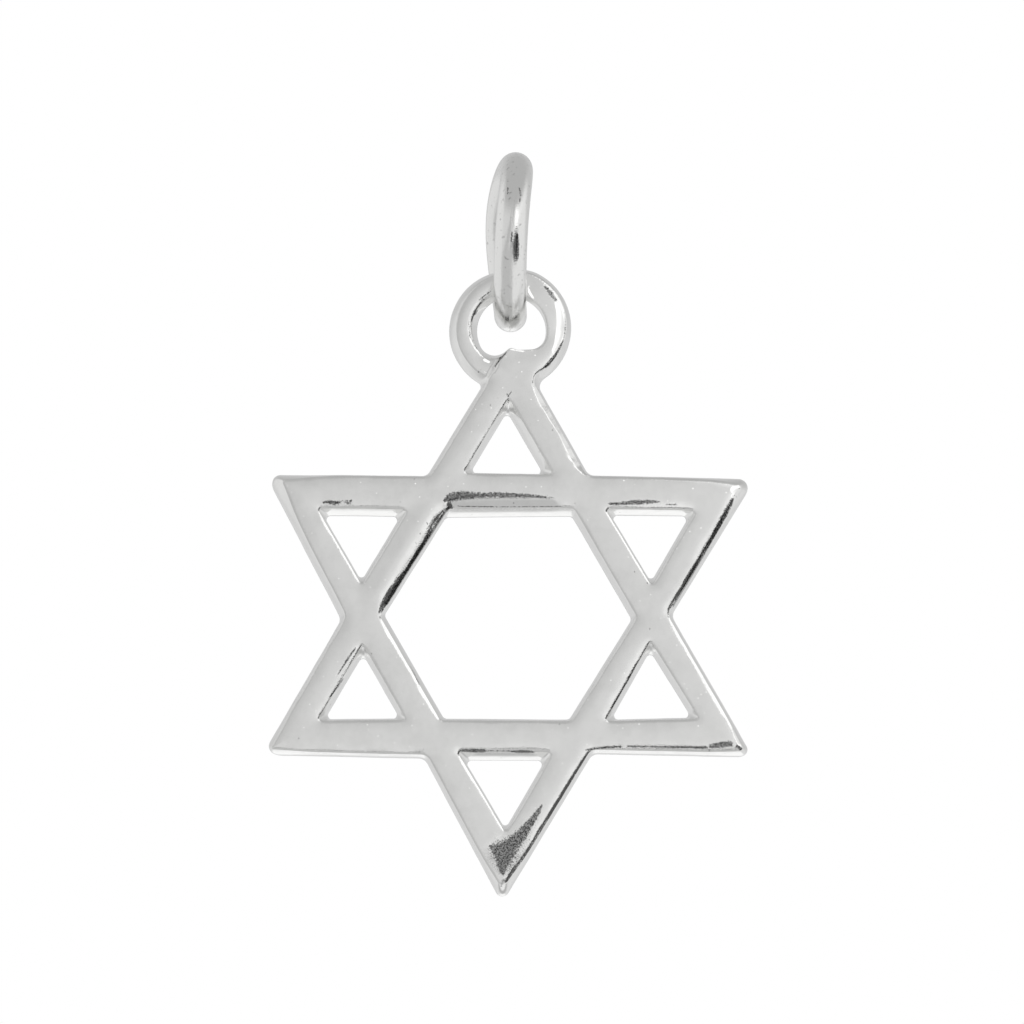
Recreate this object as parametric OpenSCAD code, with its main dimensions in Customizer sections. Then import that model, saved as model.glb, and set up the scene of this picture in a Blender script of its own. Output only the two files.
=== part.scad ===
// A six-pointed star pendant on a round jump ring. The star and the loop at its top tip are one casting.
// It hangs in the XZ plane with +Z up and its face to -Y. The origin is the inside top of the jump ring,
// where a chain bears. All sizes are in millimetres.

/* [Star] */
// Distance from the star's centre to the middle of each bar
bar_reach = 3.465; // [3.2:0.005:4.4]
// Width of each bar where it is widest, just in front of its back edges
bar_w = 1.02; // [0.9:0.01:1.3]
// Thickness of the star from its back to its face
star_t = 1.2; // [0.9:0.05:1.8]
// Inward lean of each side wall from its widest line to its crease
wall_lean = 0.15; // [0.04:0.01:0.2]
// Width of the rolled edge between a crease and the flat of the face
roll_w = 0.14; // [0.04:0.01:0.18]
// Depth of the rolled edge between a crease and the flat of the face
roll_d = 0.16; // [0.04:0.01:0.3]
// Rounding of the edges at the back
back_round = 0.08; // [0.02:0.01:0.15]

/* [Corners] */
// Radius of the upper and side tips on the widest outline
tip_r = 0.28; // [0.12:0.01:0.36]
// Radius of the bottom tip on the widest outline, which is worn less
low_tip_r = 0.16; // [0.12:0.01:0.36]
// Radius in the notches between the tips
notch_r = 0.28; // [0.1:0.01:0.5]
// Radius in the corners of the middle opening
middle_r = 0.22; // [0.08:0.01:0.5]
// Radius in the corners of the six small openings, at the widest lines of the bars
small_r = 0.2; // [0.08:0.01:0.28]
// Radius of the tips and of the small openings' corners along the crease
crease_r = 0.09; // [0.04:0.01:0.12]

/* [Loop] */
// Width of the loop's band, from the eye to its outer edge
loop_w = 0.76; // [0.5:0.02:1]
// Thickness of the loop from back to front
loop_t = 0.95; // [0.7:0.05:1.1]
// Free width in the eye beside the wire that passes through it
eye_play = 0.98; // [0.5:0.02:1.2]
// Free height between the wire and the tip that reaches into the eye
tip_gap = 0.37; // [0.2:0.01:0.6]

/* [Jump ring] */
// Diameter of the ring's wire
wire_d = 0.92; // [0.7:0.02:1.1]
// Inner diameter of the ring
ring_inner_d = 3.16; // [2.6:0.02:4.6]
// Running gap between the wire and the loop that hangs on it
hang_gap = 0.08; // [0.05:0.01:0.15]

/* [Hidden] */

TIPS = 6;
TIP_STEP = 360 / TIPS;
UP = 90;
ARC_STEPS = 6;
FINE = 64;
// How far a cutting shape runs past a face, as a share of its last step
OVERRUN = 0.5;

// The rolled edge from the crease to the face: share of its width, share of its depth
ROLL = [
    [0, 0],
    [0.28, 0.5],
    [0.6, 0.84],
    [1, 1]
];

// One half of the loop's section from back to front: share of half its width, share of half its thickness
LOOP_SECTION = [
    [0.56, -1],
    [0.82, -0.86],
    [0.95, -0.58],
    [1, -0.15],
    [0.9, 0.28],
    [0.6, 0.66],
    [0.36, 0.88],
    [0.12, 0.98]
];

outer_reach = bar_reach + bar_w / 2;
inner_reach = bar_reach - bar_w / 2;

// The star's levels from back to face: height, inset of its edges, share of the way to the crease's radii
LEVELS = [
    [-star_t / 2, back_round, 0],
    [-star_t / 2 + back_round * 0.3, back_round * 0.3, 0],
    [-star_t / 2 + back_round, 0, 0],
    for (step = ROLL) [star_t / 2 - roll_d * (1 - step[1]), wall_lean + roll_w * step[0], 1]
];

eye_d = wire_d + eye_play;
ring_r = (ring_inner_d + wire_d) / 2;
ring_z = -ring_inner_d / 2;
// Middle of the wire at the bottom of the ring: the line that the star swings about
pin_z = ring_z - ring_r;
eye_z = pin_z + wire_d / 2 + hang_gap - eye_d / 2;
tip_top = 2 * outer_reach - tip_r;
eye_rise = tip_top + tip_gap + wire_d + hang_gap - eye_d / 2;
star_z = eye_z - eye_rise;

function polar(distance, angle) = distance * [cos(angle), sin(angle)];
function unit(v) = v / norm(v);
function between(from, to, share) = from + (to - from) * share;
function centre(points) = [for (p = points) 1 / len(points)] * points;

// Points of the arc of radius r that touches both sides of the corner at b
function corner_arc(a, b, c, r) = let (
    u = unit(a - b),
    v = unit(c - b),
    half = acos(u * v) / 2,
    middle = b + unit(u + v) * r / sin(half),
    start = unit(b + u * r / tan(half) - middle),
    stop = unit(b + v * r / tan(half) - middle),
    sweep = 180 - 2 * half
) [for (i = [0:ARC_STEPS]) let (t = sweep * i / ARC_STEPS)
    middle + r * (start * sin(sweep - t) + stop * sin(t)) / sin(sweep)];

// A polygon with each corner rounded to the radius of the same place in radii
function rounded(corners, radii) = let (n = len(corners)) [for (i = [0:n - 1])
    each corner_arc(corners[(i + n - 1) % n], corners[i], corners[(i + 1) % n], radii[i])];

// Outline of the whole star at one level
function star_outline(level) = let (reach = outer_reach - level[1]) rounded(
    [for (i = [0:2 * TIPS - 1]) let (angle = UP + i * TIP_STEP / 2)
        i % 2 == 0 ? polar(reach / cos(TIP_STEP), angle) : polar(reach / cos(TIP_STEP / 2), angle)],
    [for (i = [0:2 * TIPS - 1]) i % 2 == 1 ? notch_r
        : between(i == TIPS ? low_tip_r : tip_r, crease_r, level[2])]);

// Outline of the small opening behind the tip that points along angle, at one level
function small_outline(level, angle) = let (
    side = inner_reach + level[1],
    base = outer_reach - level[1],
    spread = (side - base * cos(TIP_STEP)) / sin(TIP_STEP),
    r = between(small_r, crease_r, level[2])
) rounded(
    [polar(side / cos(TIP_STEP), angle),
        polar(base, angle) + polar(spread, angle + 90),
        polar(base, angle) - polar(spread, angle + 90)],
    [r, r, r]);

// Outline of the six-sided opening in the middle, at one level
function middle_outline(level) = rounded(
    [for (i = [0:TIPS - 1]) polar((inner_reach + level[1]) / cos(TIP_STEP / 2), i * TIP_STEP)],
    [for (i = [0:TIPS - 1]) middle_r]);

// The levels of an opening, with its first and last moved on past the faces
function through(levels) = let (n = len(levels)) [
    between(levels[0], levels[1], -OVERRUN),
    for (i = [1:n - 2]) levels[i],
    between(levels[n - 1], levels[n - 2], -OVERRUN)
];

// A solid skinned over outlines of equal length, each at the height of its level
module skin(levels, outlines) {
    n = len(outlines[0]);
    last = len(outlines) - 1;
    polyhedron(
        points = [
            for (j = [0:last]) for (p = outlines[j]) [p[0], p[1], levels[j][0]],
            concat(centre(outlines[0]), levels[0][0]),
            concat(centre(outlines[last]), levels[last][0])
        ],
        faces = [
            for (j = [0:last - 1]) for (i = [0:n - 1]) let (a = j * n + i, b = j * n + (i + 1) % n)
                each [[a, a + n, b + n], [a, b + n, b]],
            for (i = [0:n - 1]) [i, (i + 1) % n, (last + 1) * n],
            for (i = [0:n - 1]) [last * n + (i + 1) % n, last * n + i, (last + 1) * n + 1]
        ]
    );
}

// The star lying on its back, with its centre at the origin
module star_casting() {
    cut = through(LEVELS);
    difference() {
        skin(LEVELS, [for (level = LEVELS) star_outline(level)]);
        skin(cut, [for (level = cut) middle_outline(level)]);
        for (i = [0:TIPS - 1])
            skin(cut, [for (level = cut) small_outline(level, UP + i * TIP_STEP)]);
    }
}

// The round loop lying on its back, with the centre of its eye at the origin
module loop() {
    band = [for (p = LOOP_SECTION) [p[0] * loop_w / 2, p[1] * loop_t / 2]];
    rotate_extrude($fn = FINE)
        translate([(eye_d + loop_w) / 2, 0])
            polygon([each band, for (i = [len(band) - 1:-1:0]) [-band[i][0], band[i][1]]]);
}

module star() {
    color("silver")
        translate([0, 0, star_z])
            rotate([90, 0, 0])
                union() {
                    star_casting();
                    translate([0, eye_rise, 0]) loop();
                }
}

module jump_ring() {
    color("silver")
        translate([0, 0, ring_z])
            rotate([0, 90, 0])
                rotate_extrude($fn = FINE)
                    translate([ring_r, 0]) circle(d = wire_d, $fn = FINE);
}

star();
jump_ring();
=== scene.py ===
"""A six-pointed star pendant of cast silver with its wire jump ring, on a plain stage."""

import math
from collections import namedtuple

import bmesh
import bpy
import numpy as np
from bpy.props import FloatProperty, FloatVectorProperty, IntProperty, PointerProperty
from bpy.types import Operator, Panel, PropertyGroup
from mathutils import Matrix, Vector, geometry, noise
from mathutils.kdtree import KDTree


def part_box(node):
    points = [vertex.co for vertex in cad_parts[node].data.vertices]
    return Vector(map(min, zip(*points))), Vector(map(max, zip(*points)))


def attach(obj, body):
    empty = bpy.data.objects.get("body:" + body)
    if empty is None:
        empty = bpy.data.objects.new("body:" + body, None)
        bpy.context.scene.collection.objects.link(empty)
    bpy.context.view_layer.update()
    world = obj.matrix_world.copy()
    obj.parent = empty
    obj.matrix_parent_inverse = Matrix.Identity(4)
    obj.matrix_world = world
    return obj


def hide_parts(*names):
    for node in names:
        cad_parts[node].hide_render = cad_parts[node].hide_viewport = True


bl_info = {
    "name": "Star pendant",
    "version": (1, 0, 0),
    "blender": (4, 5, 0),
    "location": "View3D > Sidebar > Pendant",
    "description": "Builds the star pendant, its jump ring and the stage around them",
    "category": "Add Mesh",
}

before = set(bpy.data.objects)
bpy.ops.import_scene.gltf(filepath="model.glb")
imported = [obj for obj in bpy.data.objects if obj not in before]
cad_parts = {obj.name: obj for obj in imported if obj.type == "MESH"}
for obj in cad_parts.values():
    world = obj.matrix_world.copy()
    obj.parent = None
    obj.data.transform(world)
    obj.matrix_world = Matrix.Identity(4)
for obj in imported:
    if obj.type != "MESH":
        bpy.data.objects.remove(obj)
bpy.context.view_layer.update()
STAR_LOW, STAR_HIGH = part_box("star")
RING_LOW, RING_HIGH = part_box("jump_ring")

MM = 0.001

# Directions in the star's own plane, in degrees: its tips, and the notches between them
TIP_ANGLES = (90, 150, 210, 270, 330, 30)
NOTCH_ANGLES = (120, 180, 240, 300, 0, 60)
TOP, BOTTOM = 90, 270
TIP_STEP = 60

# Steps round the edges at the back, and the least number of steps along an arc
BACK_STEPS = 4
ARC_STEPS = 9
# Rows of points: shares of the way up the wall, and distances in mm inside the crease
WALL_STEPS = (0.15, 0.3, 0.45, 0.6, 0.75, 0.88, 0.97)
ROLL_STEPS = (0.01, 0.028, 0.045, 0.06, 0.075, 0.09, 0.105, 0.12, 0.135, 0.15)
# Powers of the share of the way up with which the walls of the star and of the loop lean in
STAR_LEAN, LOOP_LEAN = 2, 1.6
# Distances in mm between the points within the face and within the back, and the share of it that stays
# free along their edges
FACE_SPACING, BACK_SPACING = 0.07, 0.12
KEPT_FREE = 0.6
# Distance in front of the middle, as a share of the loop's thickness, from which a point is in front
FRONT_FROM = 0.3
# Steps of the floor round and outwards
FLOOR_STEPS = (96, 12)

# Unevenness left by hand, as layers: strength, size of the features in mm, seed
EDGE_STRAY = ((0.6, 1.1, 3.1), (0.24, 0.35, 8.7))
FACET_WIDTHS = ((0.35, 0.8, 5.3), (0.2, 0.2, 2.6))
SLOPE_CHANGES = ((1, 0.7, 6.1),)
FACE_RIPPLES = ((1, 1.3, 1.7), (0.35, 0.5, 4.4))
BACK_RIPPLES = ((0.8, 1.2, 9.2),)
# Shares of the slope changes in the facets and in the crown
FACET_CHANGE, CROWN_CHANGE = 0.25, 0.3
# Size in mm of the dents in the jump ring, along each axis
DENT_SIZE = (0.6, 0.9, 0.9)

# Each pair below is where a smooth step starts and stops.
# From the star to the loop: distance in mm beyond the top tip's left side, height in mm over the star's
# centre, and direction in degrees round the eye
LOOP_BEYOND, LOOP_UP, LOOP_ROUND = (-0.01, 0.09), (6.25, 6.75), (-60, 0)
# Into the loop's right half, by the cosine of the direction, and into the outer half of its band
RIGHT_HALF, OUTER_HALF = (-0.25, 0.5), (0.35, 0.65)
# Distance in mm from the tip in the eye, beyond which the face has its crown
APEX_FADE = (0.2, 1.0)
# Distance from the crease over which the grain ends, in widths of the facet with a margin in mm
GRAIN_FADE, GRAIN_MARGIN = (0.8, 1.5), 0.02

# The bottom tip's face falls back below a line with this rise, between two lines (direction that each
# faces, distance in mm), all with a softness in mm
BEND_RISE = 0.7
BEND_SIDES = ((330, 3.42), (210, 3.68))
BEND_BLEND = 0.03

# The hand filing of the star. For the bar that faces each direction: the stretch of its line towards
# the tip on its clockwise side, its middle, and the stretch towards the other tip. Each has the shift
# of the line in mm, its turn in degrees, the lean of its wall in mm, and the width in mm and the slope
# of the narrow facet filed along its crease.
OUTER_LINES = {
    30: (
        (0.029, 0.1, 0.16, 0.085, 0.26),
        (-0.015, -1.1, 0.12, 0.04, 0.3),
        (0.015, 0.5, 0.14, 0.13, 0.62),
    ),
    90: (
        (0.004, 1.0, 0.1, 0.05, 0.4),
        (0.088, 0.6, 0.1, 0.05, 0.4),
        (0.02, 0.45, 0.1, 0.05, 0.4),
    ),
    150: (
        (-0.046, 1.2, 0.086, 0.05, 0.3),
        (0.085, 0.9, 0.09, 0.05, 0.3),
        (0.051, 0.0, 0.08, 0.05, 0.3),
    ),
    210: (
        (0.01, 2.4, 0.127, 0.05, 0.3),
        (0.054, 0.2, 0.088, 0.05, 0.3),
        (0.085, 1.9, 0.06, 0.05, 0.3),
    ),
    270: (
        (-0.084, 1.1, 0.05, 0.03, 0.3),
        (0.008, 0.0, 0.19, 0.06, 0.3),
        (-0.14, 1.0, 0.06, 0.03, 0.3),
    ),
    330: (
        (-0.079, 1.2, 0.108, 0.075, 0.3),
        (-0.067, -0.5, 0.14, 0.035, 0.14),
        (0.005, 1.6, 0.127, 0.085, 0.3),
    ),
}
INNER_LINES = {
    30: (
        (0.085, -1.8, 0.073, 0.05, 0.3),
        (0.04, 0.0, 0.07, 0.05, 0.3),
        (-0.062, 0.0, 0.158, 0.05, 0.3),
    ),
    90: (
        (-0.05, 0.5, 0.084, 0.05, 0.3),
        (-0.095, -0.8, 0.145, 0.05, 0.3),
        (-0.088, 0.4, 0.118, 0.05, 0.3),
    ),
    150: (
        (0.0, 0.8, 0.14, 0.035, 0.13),
        (0.028, 2.0, 0.07, 0.13, 0.3),
        (0.055, 0.5, 0.14, 0.035, 0.13),
    ),
    210: (
        (0.095, 0.0, 0.1, 0.06, 0.26),
        (0.011, 0.0, 0.17, 0.08, 0.26),
        (0.084, -0.5, 0.1, 0.06, 0.26),
    ),
    270: (
        (-0.123, -0.8, 0.108, 0.05, 0.4),
        (-0.122, 0.2, 0.108, 0.05, 0.4),
        (-0.146, -1.6, 0.108, 0.05, 0.4),
    ),
    330: (
        (-0.07, 0.0, 0.05, 0.05, 0.3),
        (-0.003, 1.9, 0.06, 0.05, 0.3),
        (0.0, 0.2, 0.067, 0.05, 0.3),
    ),
}
# Width in mm and slope of the facets round a plain corner, along the eye, along the fill on the right of
# the tip in the eye, and along that tip's right side
PLAIN, EYE_FACET, FILL_FACET, TIP_FACET = (0.03, 0.3), (0.04, 0.2), (0.03, 0.15), (0.02, 0.1)
# Number of points to either side over which the facets are evened out
FACET_BLUR = 3
# Distance in mm from a bar's middle at which an outer (1) and an inner (-1) stretch turns
TURNING_AT = {1: 4.42, -1: 3.98}
# For each tip: its radius as a share of the size given, the radius of its crease in mm, how far in mm
# its crease is worn back, and over what length in mm
TIP_WEAR = {
    150: (1.04, 0.07, 0.28, 1.2),
    210: (1.07, 0.06, 0.12, 1.0),
    270: (1.25, 0.17, 0.18, 1.0),
    330: (0.8, 0.08, 0.1, 0.9),
    30: (1.1, 0.12, 0.21, 0.9),
}
# Places where polishing rounded the face more, from one point to another in mm from the star's centre:
# the points, the radius of the place in mm, and what it adds to the slope and to the width in mm of the
# crown
POLISHED = (
    ((-1.45, 3.13), (1.1, 3.12), 0.25, 0.2, 0.05),
    ((-2.15, 2.75), (-3.35, 0.75), 0.55, 0.03, 0.14),
)

# Painted dark reflections: where the polished face turns towards dark surroundings, strokes seen from the
# front are painted dark into the colour and broken up by the casting's grain. Each has a depth, and the
# points along it as (across, up, half width), in mm from the star's centre. They also show the casting's
# grain.
PAINTED_DARK_REFLECTIONS = (
    (1, ((-1.82, 3.22, 0.034), (-1.69, 3.29, 0.095), (-1.5, 3.34, 0.118), (-1.27, 3.36, 0.109),
        (-1.05, 3.36, 0.09))),
    (0.86, ((-1.11, 3.36, 0.095), (-0.69, 3.37, 0.076), (-0.27, 3.38, 0.076), (0.29, 3.37, 0.062),
        (0.8, 3.35, 0.045), (1.11, 3.29, 0.031))),
    (0.62, ((-1.44, 3.06, 0.025), (-0.27, 3.05, 0.022), (1.47, 3.07, 0.022))),
    (0.95, ((-1.71, 3.01, 0.042), (-2, 2.56, 0.067), (-2.51, 1.8, 0.067), (-2.98, 1.07, 0.062),
        (-3.43, 0.34, 0.056))),
    (0.85, ((-5.22, 3.14, 0.025), (-5.08, 3.17, 0.053), (-4.86, 3.13, 0.073), (-4.72, 3.17, 0.045))),
    (0.85, ((-4.61, 3.18, 0.045), (-4.49, 3.15, 0.067), (-4.4, 3.2, 0.034))),
    (0.9, ((2.79, 3.14, 0.028), (3.15, 3.16, 0.05), (3.6, 3.19, 0.073), (3.93, 3.2, 0.056),
        (4.21, 3.2, 0.028))),
    (0.6, ((4.35, 3.14, 0.034), (4.66, 3.13, 0.034))),
    (0.9, ((6.26, 3.31, 0.039), (6.17, 3.13, 0.067), (5.95, 2.73, 0.07), (5.36, 1.66, 0.062),
        (4.94, 0.9, 0.056), (4.59, 0.28, 0.042))),
    (0.9, ((-1.36, -3.77, 0.028), (-1.05, -3.77, 0.053), (-0.71, -3.77, 0.048))),
    (0.6, ((-0.71, -3.77, 0.028), (0.07, -3.78, 0.025))),
    (0.85, ((0.07, -3.79, 0.025), (0.27, -3.79, 0.045), (0.49, -3.79, 0.042), (0.71, -3.81, 0.022))),
    (0.75, ((2.11, -3.75, 0.025), (2.53, -3.68, 0.039), (3.12, -3.65, 0.042))),
    (0.75, ((3.29, -3.64, 0.034), (3.93, -3.65, 0.036), (4.77, -3.66, 0.042), (5.5, -3.67, 0.048))),
    (0.95, ((5.61, -3.63, 0.05), (5.89, -3.59, 0.078), (6.15, -3.56, 0.073))),
    (0.9, ((6.36, -3.63, 0.05), (6.44, -3.7, 0.05))),
    (0.66, ((-0.13, 6.33, 0.022), (-0.04, 6.15, 0.025), (-0.03, 5.94, 0.025))),
    (0.62, ((0.07, 6.3, 0.022), (-0.04, 6.15, 0.025))),
    (0.7, ((-0.22, -7.48, 0.031), (-0.22, -7.58, 0.031))),
    (0.6, ((-0.22, -7.68, 0.031), (-0.22, -7.72, 0.025))),
    (1, ((-0.53, -6.44, 0.045), (-0.35, -6.52, 0.168), (-0.14, -6.61, 0.322))),
    (1, ((-0.14, -6.61, 0.322), (0.1, -6.35, 0.21), (0.32, -6.13, 0.157), (0.5, -5.89, 0.118),
        (0.66, -5.67, 0.084), (0.8, -5.47, 0.056), (0.9, -5.3, 0.028))),
    (1, ((-0.15, -6.61, 0.322), (-0.17, -6.86, 0.21), (-0.18, -7.03, 0.129), (-0.18, -7.18, 0.056))),
    (0.8, ((-4.3, -0.93, 0.025), (-4.55, -1.29, 0.034), (-4.8, -1.67, 0.031))),
    (0.8, ((-4.63, -1.77, 0.022), (-4.83, -2.05, 0.039), (-5, -2.29, 0.022))),
    (0.8, ((3.54, -1.32, 0.022), (3.32, -1.74, 0.042), (3.07, -2.19, 0.031), (2.84, -2.59, 0.022))),
    (0.66, ((-3.32, -0.31, 0.025), (-2.93, -0.98, 0.028), (-2.51, -1.94, 0.028))),
    (1.15, ((1.5, 7.72, 0.018), (1.4, 7.53, 0.026), (1.27, 7.31, 0.03), (1.1, 7.08, 0.046),
        (1.01, 6.99, 0.034))),
    (0.72, ((0.99, 9.26, 0.045), (1.15, 9.1, 0.084), (1.3, 8.88, 0.062))),
    (1, ((-0.98, 8.46, 0.02), (-0.9, 8.55, 0.031), (-0.8, 8.63, 0.02))),
    (0.66, ((-0.88, 8.84, 0.025), (-0.71, 8.98, 0.036), (-0.52, 9.12, 0.025))),
    (0.6, ((-1.15, 8.24, 0.025), (-1.11, 7.85, 0.028), (-0.91, 7.49, 0.025))),
    (0.85, ((-0.45, 6.94, 0.025), (-0.27, 7.18, 0.025), (-0.08, 7.4, 0.022))),
    (0.7, ((-0.88, 6.85, 0.022), (-0.8, 6.89, 0.022))),
    (0.66, ((-1.08, 6.84, 0.022), (-0.91, 6.67, 0.028), (-0.83, 6.5, 0.022))),
)
# Small worn places that catch the light from the right
GLINTS = (
    (1, ((6.3, 3.56, 0.095), (6.4, 3.5, 0.095))),
    (0.9, ((6.26, 3.39, 0.045), (6.29, 3.36, 0.039))),
    (0.9, ((6.26, -3.15, 0.056), (6.43, -3.49, 0.09))),
    (1, ((0.85, 6.87, 0.042), (0.76, 6.68, 0.087), (0.71, 6.49, 0.053))),
    (1, ((1.32, 8.81, 0.05), (1.41, 8.53, 0.084), (1.44, 8.24, 0.104), (1.41, 7.92, 0.104),
        (1.34, 7.63, 0.073), (1.25, 7.43, 0.056))),
    (0.9, ((0.78, 6.39, 0.025), (0.88, 6.25, 0.022))),
    (1, ((-1.1, 8.27, 0.034), (-1.08, 8.02, 0.078), (-1.02, 7.74, 0.078), (-0.92, 7.51, 0.05))),
    (0.9, ((-0.69, 7.18, 0.045), (-0.57, 7.12, 0.036))),
    (0.8, ((-1.23, 6.91, 0.022), (-1.08, 6.68, 0.025), (-0.87, 6.57, 0.025))),
    (0.9, ((0.53, 9.29, 0.025), (0.56, 9.1, 0.039), (0.67, 8.92, 0.034))),
    (0.7, ((-0.78, 8.93, 0.025), (-0.71, 8.99, 0.025))),
    (0.7, ((-0.6, 9.06, 0.025), (-0.55, 9.1, 0.025))),
    (0.8, ((0.35, -5.99, 0.028), (0.55, -6.27, 0.028))),
    (0.8, ((-0.66, -7.04, 0.028), (-0.57, -7.1, 0.028))),
    (0.8, ((-2.31, 2.59, 0.034), (-2.27, 2.56, 0.028))),
    (0.8, ((-2.63, 2.04, 0.028), (-2.59, 2.01, 0.028))),
    (0.8, ((-1.05, 6.73, 0.034), (-0.88, 6.59, 0.034))),
    (0.8, ((-0.13, 7.51, 0.028), (0.13, 7.46, 0.034), (0.41, 7.41, 0.028))),
)
# The jump ring's bend out of its plane, to the right, in mm: its middle value, and the waves of one, two
# and three to the round from the bottom by way of the back, each with its cosine and its sine part
RING_ASIDE = 0.0275
RING_WAVES = ((-0.0367, -0.0486), (0.0776, 0.0691), (-0.0184, -0.0003))
# Painted dark reflections on the front of the jump ring, in mm from the origin
RING_PAINTED_REFLECTIONS = (
    (1, ((0.14, -1.64, 0.025), (0.15, -1.92, 0.045), (0.16, -2.19, 0.042), (0.14, -2.36, 0.025))),
    (0.8, ((-0.01, -1.57, 0.025), (-0.01, -1.75, 0.034), (-0.03, -1.89, 0.022))),
    (0.7, ((0.07, -2.16, 0.025), (0.07, -2.36, 0.025))),
    (0.75, ((-0.1, -0.31, 0.025), (-0.11, -0.49, 0.025))),
    (0.62, ((0.22, -0.31, 0.034), (0.24, -0.52, 0.056), (0.21, -0.75, 0.034))),
)

# One level of the outlines: heights and pulled-in edges of star and loop on the way round the back's
# edge, share of the way up the wall to the crease, and distance inside the crease
Level = namedtuple("Level", "star_height star_pull loop_height loop_pull share step")

# Stretches of an outline: a line between two points, and an arc between two directions in radians, whose
# right half is raised. Each has the width in mm and the slope of the facet filed along it.
Line = namedtuple("Line", "start stop facet", defaults=(PLAIN,))
Arc = namedtuple("Arc", "middle radius start stop facet rise", defaults=(PLAIN, 0))


def place(name, description, millimetres, **limits):
    """A place or size in metres whose default is given in millimetres."""
    return FloatProperty(
        name=name, description=description, default=millimetres * MM, unit="LENGTH", precision=6, **limits
    )


def length(name, description, millimetres):
    """A size in metres that isn't negative."""
    return place(name, description, millimetres, min=0.0)


def share(name, description, default):
    """A plain number from 0 to 1."""
    return FloatProperty(
        name=name, description=description, default=default, min=0.0, max=1.0, subtype="FACTOR", precision=3
    )


def angle(name, description, degrees):
    """An angle whose default is given in degrees."""
    return FloatProperty(
        name=name, description=description, default=math.radians(degrees), unit="ROTATION", subtype="ANGLE"
    )


def colour(name, description, default):
    """A linear colour."""
    return FloatVectorProperty(
        name=name, description=description, default=default, min=0.0, max=1.0, size=3, subtype="COLOR"
    )


def number(name, description, default, least):
    """A whole number."""
    return IntProperty(name=name, description=description, default=default, min=least)


# Sizes and finishes


class StarSizes(PropertyGroup):
    """Sizes of the cast star."""

    bar_reach: length("Bar reach", "From the star's centre to the middle of each bar", 3.465)
    bar_width: length("Bar width", "Width of each bar at its widest", 1.02)
    hand: share("Hand filing", "How much of the unevenness of hand filing is kept", 1.0)
    thickness: length("Thickness", "From the back to the face", 1.2)
    crown_slope: share("Crown slope", "Slope of the crown of the face beside a crease", 0.066)
    crown_width: length("Crown width", "Distance from a crease at which the crown ends", 0.22)
    crown_blend: length("Crown blend", "Softness of the crown's end", 0.06)
    facet_blend: length("Facet blend", "Softness of the facet's end", 0.009)
    back_round: length("Back rounding", "Radius of the edges at the back", 0.08)
    tip_radius: length("Tip radius", "Radius of the side tips at their widest line", 0.28)
    low_tip_radius: length("Low tip radius", "Radius of the bottom tip at its widest line", 0.16)
    eye_tip_radius: length("Eye tip radius", "Radius of the tip that reaches into the eye", 0.12)
    eye_tip_angle: angle("Eye tip angle", "Direction that the right side of that tip faces", 70.7)
    eye_tip_reach: length("Eye tip reach", "From the star's centre to the right side of that tip", 7.189)
    right_fill_angle: angle("Right fill angle", "Direction that the fill right of that tip faces", 92)
    right_fill_reach: length("Right fill reach", "From the star's centre to the right fill", 7.518)
    left_fill_angle: angle("Left fill angle", "Direction that the fill left of that tip faces", 132)
    left_fill_reach: length("Left fill reach", "From the star's centre to the left fill", 5.636)
    fill_round: length("Fill rounding", "Radius where both fills meet the eye", 0.45)
    fill_lean: length("Fill lean", "Inward lean of the walls of both fills", 0.08)
    bend_from: length("Bend from", "Where the bottom tip's face starts to fall back", 6.25)
    bend_left: length("Bend left", "Left end of the line at which it starts", 0.55)
    bend_slope: share("Bend slope", "Slope with which the bottom tip's face falls back", 0.025)
    notch_radius: length("Notch radius", "Radius between two tips", 0.28)
    middle_radius: length("Middle corner", "Radius in the corners of the middle opening", 0.17)
    small_radius: length("Small corner", "Radius in the corners of the small openings", 0.12)
    crease_radius: length("Crease corner", "Radius of the small openings along the crease", 0.08)
    wobble: length("Wobble", "How far a hand-finished edge strays from a straight line", 0.012)
    ripple: length("Ripple", "Height of the polisher's ripples on the face", 0.005)
    spacing: length("Mesh spacing", "Distance between points of the mesh along an edge", 0.06)


class LoopSizes(PropertyGroup):
    """Sizes of the loop that is cast on at the top tip."""

    band: length("Band", "Width of the band from the eye to its outer edge", 0.745)
    thickness: length("Thickness", "From the back to the front of the band", 1.0)
    eye_radius: length("Eye radius", "Radius of the eye at its narrowest", 0.97)
    shift: length("Shift", "How far the loop sits to the right of the star's middle", 0.055)
    raised: length("Raised", "How far the right half of the outer edge is raised", 0.11)
    wall_lean: length("Wall lean", "Inward lean of the outer wall from its widest line to its crease", 0.16)
    eye_lean: length("Eye lean", "Mean outward lean of the eye's wall up to its crease", 0.087)
    eye_right: length("Eye to the right", "How far the eye sits to the right of the band's middle", 0.035)
    eye_left: length("Eye crease left", "How far the eye's crease lies to the left of the eye", 0.09)
    eye_low: length("Eye crease low", "How far the eye's crease lies below the eye", 0.03)
    crown_slope: share("Crown slope", "Slope of the band's crown beside a crease", 0.15)
    crown_width: length("Crown width", "Distance from a crease at which the crown ends", 0.13)
    worn_right: share("Worn right", "How much of the crown beside the eye is worn away on the right", 0.75)
    fall_right: share("Fall right", "Slope with which the band falls outwards on the right", 0.08)
    back_round: length("Back rounding", "Radius of the edges at the back", 0.16)
    fillet_left: length("Left fillet", "Radius where the band meets the star on the left", 0.12)
    fillet_right: length("Right fillet", "Radius where the band meets the star on the right", 0.3)


class RingSizes(PropertyGroup):
    """Sizes of the wire jump ring."""

    bend: share("Bend", "How much of the sideways bend of the hand-closed ring is kept", 1.0)
    stretch: length("Stretch", "How much taller than round the hand-closed ring is", 0.06)
    dents: length("Dents", "Depth of the handling marks on the wire", 0.004)
    steps_round: number("Steps round", "Steps round the ring", 300, 32)
    steps_wire: number("Steps of wire", "Steps round the wire", 72, 16)


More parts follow.
